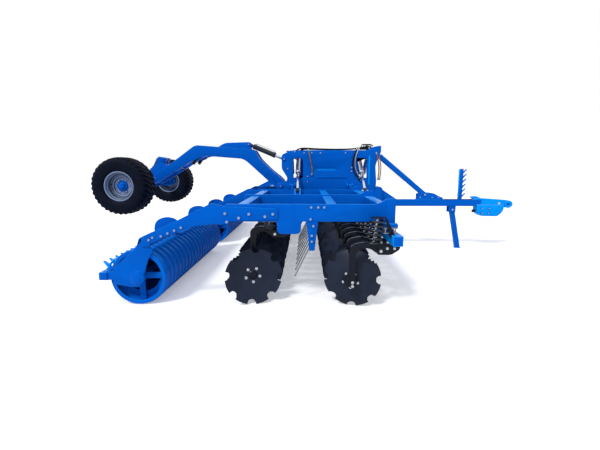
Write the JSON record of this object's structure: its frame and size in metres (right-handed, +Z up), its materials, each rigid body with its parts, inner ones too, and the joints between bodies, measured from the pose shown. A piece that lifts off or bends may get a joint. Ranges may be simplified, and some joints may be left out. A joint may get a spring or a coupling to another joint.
{
  "type": "trailed folding compact disc harrow",
  "caption": "Trailed compact disc harrow with two folding wings, spring-mounted notched discs, packer rollers, raised transport wheels, drawbar and parking stand.",
  "frame": {"origin": "on the ground, under the middle of the machine's overall box", "axes": "+X is the direction of travel, towards the hitch; +Y is the left-hand side; +Z is up"},
  "size_m": [6.88, 6.24, 1.88],
  "materials": {
    "blue_paint": "gloss powder coat",
    "black_paint": "satin black paint",
    "disc_steel": "satin dark lacquer on hardened steel",
    "tyre": "moulded black rubber",
    "chromed_rod": "chromed",
    "zinc_steel": "zinc plated"
  },
  "bodies": {
    "chassis": {"centre_frame": "blue_paint", "drawbar": "blue_paint"},
    "wing_right": {"wing_frame_right": "blue_paint", "roller_frame_right": "blue_paint", "disc_arms_front_right": "black_paint", "disc_arms_rear_right": "black_paint"},
    "wing_left": {"wing_frame_left": "blue_paint", "roller_frame_left": "blue_paint", "disc_arms_front_left": "black_paint", "disc_arms_rear_left": "black_paint"},
    "transport": {"transport_arm": "blue_paint"},
    "stand": {"parking_stand": "blue_paint"},
    "road_wheel_right": {"wheel_right": "tyre"},
    "road_wheel_left": {"wheel_left": "tyre"},
    "roller_right": {"packer_roller_right": "blue_paint"},
    "roller_left": {"packer_roller_left": "blue_paint"},
    "lift_barrel": {"lift_cylinder_barrel": "black_paint"},
    "lift_rod": {"lift_cylinder_rod": "chromed_rod"},
    "fold_barrel_right": {"fold_cylinder_right_barrel": "zinc_steel"},
    "fold_rod_right": {"fold_cylinder_right_rod": "chromed_rod"},
    "fold_barrel_left": {"fold_cylinder_left_barrel": "zinc_steel"},
    "fold_rod_left": {"fold_cylinder_left_rod": "chromed_rod"},
    "disc_front_right_1": {"disc_front_right_1": "disc_steel"},
    "disc_front_right_2": {"disc_front_right_2": "disc_steel"},
    "disc_front_right_3": {"disc_front_right_3": "disc_steel"},
    "disc_front_right_4": {"disc_front_right_4": "disc_steel"},
    "disc_front_right_5": {"disc_front_right_5": "disc_steel"},
    "disc_front_right_6": {"disc_front_right_6": "disc_steel"},
    "disc_front_right_7": {"disc_front_right_7": "disc_steel"},
    "disc_front_right_8": {"disc_front_right_8": "disc_steel"},
    "disc_front_right_9": {"disc_front_right_9": "disc_steel"},
    "disc_front_right_10": {"disc_front_right_10": "disc_steel"},
    "disc_front_left_1": {"disc_front_left_1": "disc_steel"},
    "disc_front_left_2": {"disc_front_left_2": "disc_steel"},
    "disc_front_left_3": {"disc_front_left_3": "disc_steel"},
    "disc_front_left_4": {"disc_front_left_4": "disc_steel"},
    "disc_front_left_5": {"disc_front_left_5": "disc_steel"},
    "disc_front_left_6": {"disc_front_left_6": "disc_steel"},
    "disc_front_left_7": {"disc_front_left_7": "disc_steel"},
    "disc_front_left_8": {"disc_front_left_8": "disc_steel"},
    "disc_front_left_9": {"disc_front_left_9": "disc_steel"},
    "disc_front_left_10": {"disc_front_left_10": "disc_steel"},
    "disc_rear_right_1": {"disc_rear_right_1": "disc_steel"},
    "disc_rear_right_2": {"disc_rear_right_2": "disc_steel"},
    "disc_rear_right_3": {"disc_rear_right_3": "disc_steel"},
    "disc_rear_right_4": {"disc_rear_right_4": "disc_steel"},
    "disc_rear_right_5": {"disc_rear_right_5": "disc_steel"},
    "disc_rear_right_6": {"disc_rear_right_6": "disc_steel"},
    "disc_rear_right_7": {"disc_rear_right_7": "disc_steel"},
    "disc_rear_right_8": {"disc_rear_right_8": "disc_steel"},
    "disc_rear_right_9": {"disc_rear_right_9": "disc_steel"},
    "disc_rear_left_1": {"disc_rear_left_1": "disc_steel"},
    "disc_rear_left_2": {"disc_rear_left_2": "disc_steel"},
    "disc_rear_left_3": {"disc_rear_left_3": "disc_steel"},
    "disc_rear_left_4": {"disc_rear_left_4": "disc_steel"},
    "disc_rear_left_5": {"disc_rear_left_5": "disc_steel"},
    "disc_rear_left_6": {"disc_rear_left_6": "disc_steel"},
    "disc_rear_left_7": {"disc_rear_left_7": "disc_steel"},
    "disc_rear_left_8": {"disc_rear_left_8": "disc_steel"},
    "disc_rear_left_9": {"disc_rear_left_9": "disc_steel"}
  },
  "joints": [
    {"name": "wing_right_fold", "type": "hinge", "parent": "chassis", "child": "wing_right", "pos_m": [0, -0.33, 1.12], "axis": [-1, 0, 0], "range_deg": [0, 90]},
    {"name": "wing_left_fold", "type": "hinge", "parent": "chassis", "child": "wing_left", "pos_m": [0, 0.33, 1.12], "axis": [1, 0, 0], "range_deg": [0, 90]},
    {"name": "transport_arm_lift", "type": "hinge", "parent": "chassis", "child": "transport", "pos_m": [-0.658, 0, 1.126], "axis": [0, -1, 0], "range_deg": [0, 22]},
    {"name": "parking_stand_fold", "type": "hinge", "parent": "chassis", "child": "stand", "pos_m": [2.385, 0, 0.7], "axis": [0, 1, 0], "range_deg": [0, 100]},
    {"name": "wheel_right_spin", "type": "hinge", "parent": "transport", "child": "road_wheel_right", "pos_m": [-3.007, -1, 1.166], "axis": [0, 1, 0], "continuous": true},
    {"name": "wheel_left_spin", "type": "hinge", "parent": "transport", "child": "road_wheel_left", "pos_m": [-3.007, 1, 1.166], "axis": [0, 1, 0], "continuous": true},
    {"name": "roller_right_spin", "type": "hinge", "parent": "wing_right", "child": "roller_right", "pos_m": [-2.001, -1.6175, 0.3], "axis": [0, 1, 0], "continuous": true},
    {"name": "roller_left_spin", "type": "hinge", "parent": "wing_left", "child": "roller_left", "pos_m": [-2.001, 1.6175, 0.3], "axis": [0, 1, 0], "continuous": true},
    {"name": "lift_barrel_turn", "type": "hinge", "parent": "transport", "child": "lift_barrel", "pos_m": [-1.228, 0, 1.84], "axis": [0, -1, 0], "range_deg": [0, 1.1]},
    {"name": "lift_rod_slide", "type": "slide", "parent": "lift_barrel", "child": "lift_rod", "axis": [0.9244, 0, -0.3815], "range_m": [0, 0.176]},
    {"name": "fold_barrel_right_turn", "type": "hinge", "parent": "chassis", "child": "fold_barrel_right", "pos_m": [-0.36, 0.2, 1.66], "axis": [-1, 0, 0], "range_deg": [0, 15.8]},
    {"name": "fold_rod_right_slide", "type": "slide", "parent": "fold_barrel_right", "child": "fold_rod_right", "axis": [0, -0.8306, -0.5569], "range_m": [-0.45, 0]},
    {"name": "fold_barrel_left_turn", "type": "hinge", "parent": "chassis", "child": "fold_barrel_left", "pos_m": [-0.48, -0.2, 1.66], "axis": [1, 0, 0], "range_deg": [0, 15.8]},
    {"name": "fold_rod_left_slide", "type": "slide", "parent": "fold_barrel_left", "child": "fold_rod_left", "axis": [0, 0.8306, -0.5569], "range_m": [-0.45, 0]},
    {"name": "disc_front_right_1_spin", "type": "hinge", "parent": "wing_right", "child": "disc_front_right_1", "pos_m": [0.24, -2.95, 0.308], "axis": [0.2756, 0.9613, 0], "continuous": true},
    {"name": "disc_front_right_2_spin", "type": "hinge", "parent": "wing_right", "child": "disc_front_right_2", "pos_m": [0.24, -2.65, 0.308], "axis": [0.2756, 0.9613, 0], "continuous": true},
    {"name": "disc_front_right_3_spin", "type": "hinge", "parent": "wing_right", "child": "disc_front_right_3", "pos_m": [0.24, -2.35, 0.308], "axis": [0.2756, 0.9613, 0], "continuous": true},
    {"name": "disc_front_right_4_spin", "type": "hinge", "parent": "wing_right", "child": "disc_front_right_4", "pos_m": [0.24, -2.05, 0.308], "axis": [0.2756, 0.9613, 0], "continuous": true},
    {"name": "disc_front_right_5_spin", "type": "hinge", "parent": "wing_right", "child": "disc_front_right_5", "pos_m": [0.24, -1.75, 0.308], "axis": [0.2756, 0.9613, 0], "continuous": true},
    {"name": "disc_front_right_6_spin", "type": "hinge", "parent": "wing_right", "child": "disc_front_right_6", "pos_m": [0.24, -1.45, 0.308], "axis": [0.2756, 0.9613, 0], "continuous": true},
    {"name": "disc_front_right_7_spin", "type": "hinge", "parent": "wing_right", "child": "disc_front_right_7", "pos_m": [0.24, -1.15, 0.308], "axis": [0.2756, 0.9613, 0], "continuous": true},
    {"name": "disc_front_right_8_spin", "type": "hinge", "parent": "wing_right", "child": "disc_front_right_8", "pos_m": [0.24, -0.85, 0.308], "axis": [0.2756, 0.9613, 0], "continuous": true},
    {"name": "disc_front_right_9_spin", "type": "hinge", "parent": "wing_right", "child": "disc_front_right_9", "pos_m": [0.24, -0.55, 0.308], "axis": [0.2756, 0.9613, 0], "continuous": true},
    {"name": "disc_front_right_10_spin", "type": "hinge", "parent": "wing_right", "child": "disc_front_right_10", "pos_m": [0.24, -0.25, 0.308], "axis": [0.2756, 0.9613, 0], "continuous": true},
    {"name": "disc_front_left_1_spin", "type": "hinge", "parent": "wing_left", "child": "disc_front_left_1", "pos_m": [0.24, 0.05, 0.308], "axis": [0.2756, 0.9613, 0], "continuous": true},
    {"name": "disc_front_left_2_spin", "type": "hinge", "parent": "wing_left", "child": "disc_front_left_2", "pos_m": [0.24, 0.35, 0.308], "axis": [0.2756, 0.9613, 0], "continuous": true},
    {"name": "disc_front_left_3_spin", "type": "hinge", "parent": "wing_left", "child": "disc_front_left_3", "pos_m": [0.24, 0.65, 0.308], "axis": [0.2756, 0.9613, 0], "continuous": true},
    {"name": "disc_front_left_4_spin", "type": "hinge", "parent": "wing_left", "child": "disc_front_left_4", "pos_m": [0.24, 0.95, 0.308], "axis": [0.2756, 0.9613, 0], "continuous": true},
    {"name": "disc_front_left_5_spin", "type": "hinge", "parent": "wing_left", "child": "disc_front_left_5", "pos_m": [0.24, 1.25, 0.308], "axis": [0.2756, 0.9613, 0], "continuous": true},
    {"name": "disc_front_left_6_spin", "type": "hinge", "parent": "wing_left", "child": "disc_front_left_6", "pos_m": [0.24, 1.55, 0.308], "axis": [0.2756, 0.9613, 0], "continuous": true},
    {"name": "disc_front_left_7_spin", "type": "hinge", "parent": "wing_left", "child": "disc_front_left_7", "pos_m": [0.24, 1.85, 0.308], "axis": [0.2756, 0.9613, 0], "continuous": true},
    {"name": "disc_front_left_8_spin", "type": "hinge", "parent": "wing_left", "child": "disc_front_left_8", "pos_m": [0.24, 2.15, 0.308], "axis": [0.2756, 0.9613, 0], "continuous": true},
    {"name": "disc_front_left_9_spin", "type": "hinge", "parent": "wing_left", "child": "disc_front_left_9", "pos_m": [0.24, 2.45, 0.308], "axis": [0.2756, 0.9613, 0], "continuous": true},
    {"name": "disc_front_left_10_spin", "type": "hinge", "parent": "wing_left", "child": "disc_front_left_10", "pos_m": [0.24, 2.75, 0.308], "axis": [0.2756, 0.9613, 0], "continuous": true},
    {"name": "disc_rear_right_1_spin", "type": "hinge", "parent": "wing_right", "child": "disc_rear_right_1", "pos_m": [-0.795, -2.8, 0.308], "axis": [0.2756, -0.9613, 0], "continuous": true},
    {"name": "disc_rear_right_2_spin", "type": "hinge", "parent": "wing_right", "child": "disc_rear_right_2", "pos_m": [-0.795, -2.5, 0.308], "axis": [0.2756, -0.9613, 0], "continuous": true},
    {"name": "disc_rear_right_3_spin", "type": "hinge", "parent": "wing_right", "child": "disc_rear_right_3", "pos_m": [-0.795, -2.2, 0.308], "axis": [0.2756, -0.9613, 0], "continuous": true},
    {"name": "disc_rear_right_4_spin", "type": "hinge", "parent": "wing_right", "child": "disc_rear_right_4", "pos_m": [-0.795, -1.9, 0.308], "axis": [0.2756, -0.9613, 0], "continuous": true},
    {"name": "disc_rear_right_5_spin", "type": "hinge", "parent": "wing_right", "child": "disc_rear_right_5", "pos_m": [-0.795, -1.6, 0.308], "axis": [0.2756, -0.9613, 0], "continuous": true},
    {"name": "disc_rear_right_6_spin", "type": "hinge", "parent": "wing_right", "child": "disc_rear_right_6", "pos_m": [-0.795, -1.3, 0.308], "axis": [0.2756, -0.9613, 0], "continuous": true},
    {"name": "disc_rear_right_7_spin", "type": "hinge", "parent": "wing_right", "child": "disc_rear_right_7", "pos_m": [-0.795, -1, 0.308], "axis": [0.2756, -0.9613, 0], "continuous": true},
    {"name": "disc_rear_right_8_spin", "type": "hinge", "parent": "wing_right", "child": "disc_rear_right_8", "pos_m": [-0.795, -0.7, 0.308], "axis": [0.2756, -0.9613, 0], "continuous": true},
    {"name": "disc_rear_right_9_spin", "type": "hinge", "parent": "wing_right", "child": "disc_rear_right_9", "pos_m": [-0.795, -0.4, 0.308], "axis": [0.2756, -0.9613, 0], "continuous": true},
    {"name": "disc_rear_left_1_spin", "type": "hinge", "parent": "wing_left", "child": "disc_rear_left_1", "pos_m": [-0.795, 0.2, 0.308], "axis": [0.2756, -0.9613, 0], "continuous": true},
    {"name": "disc_rear_left_2_spin", "type": "hinge", "parent": "wing_left", "child": "disc_rear_left_2", "pos_m": [-0.795, 0.5, 0.308], "axis": [0.2756, -0.9613, 0], "continuous": true},
    {"name": "disc_rear_left_3_spin", "type": "hinge", "parent": "wing_left", "child": "disc_rear_left_3", "pos_m": [-0.795, 0.8, 0.308], "axis": [0.2756, -0.9613, 0], "continuous": true},
    {"name": "disc_rear_left_4_spin", "type": "hinge", "parent": "wing_left", "child": "disc_rear_left_4", "pos_m": [-0.795, 1.1, 0.308], "axis": [0.2756, -0.9613, 0], "continuous": true},
    {"name": "disc_rear_left_5_spin", "type": "hinge", "parent": "wing_left", "child": "disc_rear_left_5", "pos_m": [-0.795, 1.4, 0.308], "axis": [0.2756, -0.9613, 0], "continuous": true},
    {"name": "disc_rear_left_6_spin", "type": "hinge", "parent": "wing_left", "child": "disc_rear_left_6", "pos_m": [-0.795, 1.7, 0.308], "axis": [0.2756, -0.9613, 0], "continuous": true},
    {"name": "disc_rear_left_7_spin", "type": "hinge", "parent": "wing_left", "child": "disc_rear_left_7", "pos_m": [-0.795, 2, 0.308], "axis": [0.2756, -0.9613, 0], "continuous": true},
    {"name": "disc_rear_left_8_spin", "type": "hinge", "parent": "wing_left", "child": "disc_rear_left_8", "pos_m": [-0.795, 2.3, 0.308], "axis": [0.2756, -0.9613, 0], "continuous": true},
    {"name": "disc_rear_left_9_spin", "type": "hinge", "parent": "wing_left", "child": "disc_rear_left_9", "pos_m": [-0.795, 2.6, 0.308], "axis": [0.2756, -0.9613, 0], "continuous": true}
  ],
  "couplings": [
    {"joint": "lift_barrel_turn", "follows": "transport_arm_lift", "ratio": 0.045},
    {"joint": "lift_rod_slide", "follows": "transport_arm_lift", "m_per_rad": 0.4547},
    {"joint": "fold_barrel_right_turn", "follows": "wing_right_fold", "ratio": 0.1744},
    {"joint": "fold_rod_right_slide", "follows": "wing_right_fold", "m_per_rad": -0.2859},
    {"joint": "fold_barrel_left_turn", "follows": "wing_left_fold", "ratio": 0.1744},
    {"joint": "fold_rod_left_slide", "follows": "wing_left_fold", "m_per_rad": -0.2859}
  ]
}
